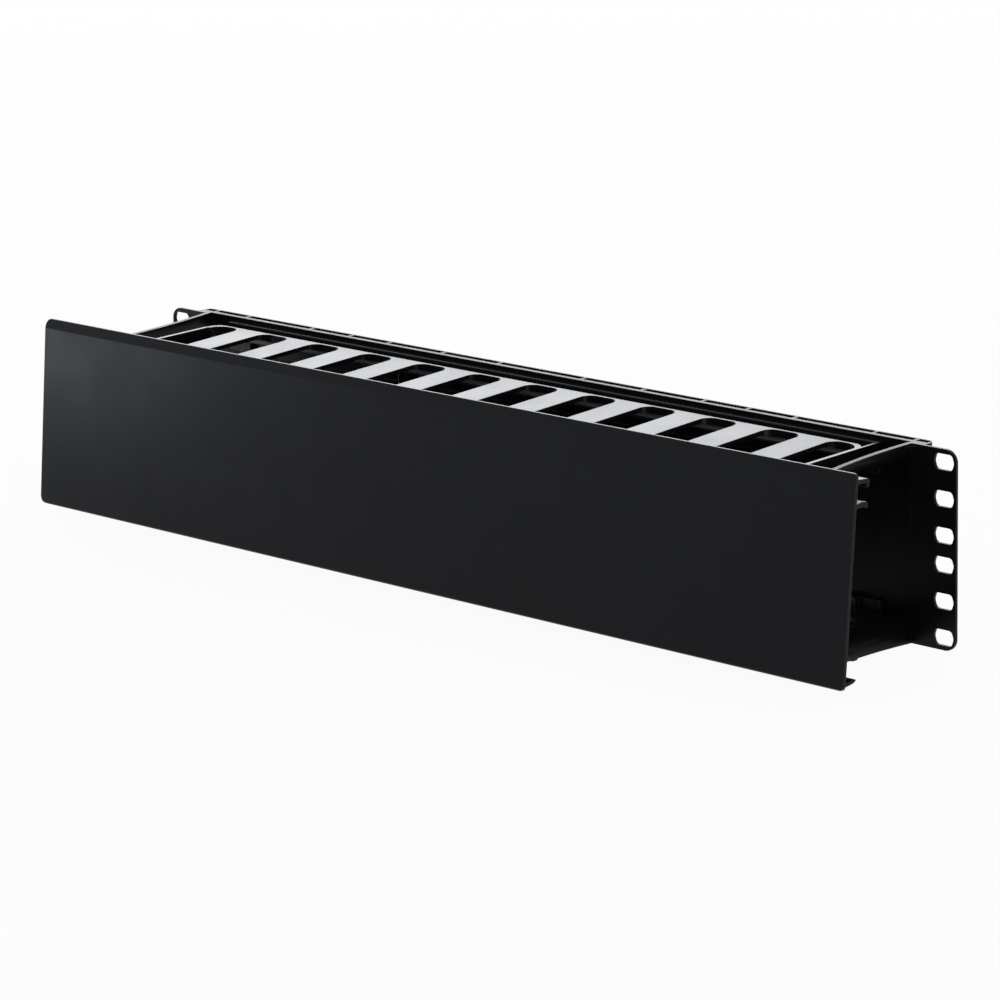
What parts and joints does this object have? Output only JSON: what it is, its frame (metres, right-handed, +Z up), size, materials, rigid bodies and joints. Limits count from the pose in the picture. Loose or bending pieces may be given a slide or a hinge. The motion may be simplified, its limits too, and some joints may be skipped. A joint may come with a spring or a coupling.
{
  "type": "horizontal cable manager",
  "caption": "Rack-mounted horizontal cable manager: open channel of slotted fingers with rolled end guides and a hinged front cover.",
  "frame": {"origin": "centre of the rack slot pattern, on the back faces of the two ears", "axes": "+X to the right along the rack, +Y to the back into the rack, +Z up; the cover faces -Y"},
  "size_m": [0.4916, 0.0937, 0.0942],
  "materials": {
    "frame_plastic": "satin moulded black",
    "comb_plastic": "satin moulded black",
    "cover_plastic": "satin extruded black",
    "screw_steel": "black coated"
  },
  "bodies": {
    "frame": {"rack_frame": "frame_plastic", "upper_comb": "comb_plastic", "lower_comb": "comb_plastic", "upper_comb_screws": "screw_steel", "lower_comb_screws": "screw_steel"},
    "cover": {"front_cover": "cover_plastic"}
  },
  "joints": [
    {"name": "cover_swing", "type": "hinge", "parent": "frame", "child": "cover", "pos_m": [0, -0.0692, 0.0442], "axis": [-1, 0, 0], "range_deg": [-5.8, 80]}
  ]
}
